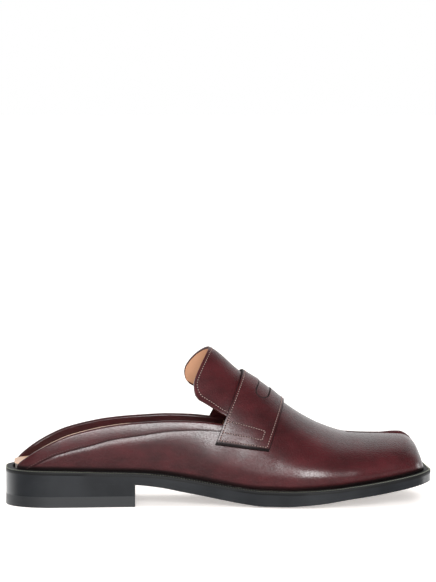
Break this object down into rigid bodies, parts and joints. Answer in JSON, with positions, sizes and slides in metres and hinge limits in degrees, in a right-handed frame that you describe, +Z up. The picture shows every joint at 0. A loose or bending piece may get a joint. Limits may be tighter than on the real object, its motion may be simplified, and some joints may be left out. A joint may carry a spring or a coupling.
{
  "type": "mule",
  "caption": "Backless leather mule with a saddle strap, a tall tongue, a split square toe and a low heel.",
  "frame": {"origin": "on the floor, under the middle of the sole's box", "axes": "+X to the toe, +Y to the inner (medial) side of this right shoe, +Z up"},
  "size_m": [0.302, 0.106, 0.1099],
  "materials": {
    "lift_rubber": "matt black rubber",
    "sole_leather": "black, edge waxed to a soft shine",
    "footbed_leather": "natural tan lining leather",
    "upper_leather": "polished oxblood calf leather"
  },
  "bodies": {
    "root": {"top_lift": "lift_rubber", "heel_block": "sole_leather", "outsole": "sole_leather", "welt": "sole_leather", "insole": "footbed_leather", "upper": "upper_leather", "tongue": "upper_leather", "saddle_strap": "upper_leather", "collar_lateral": "upper_leather", "collar_medial": "upper_leather"}
  },
  "joints": []
}
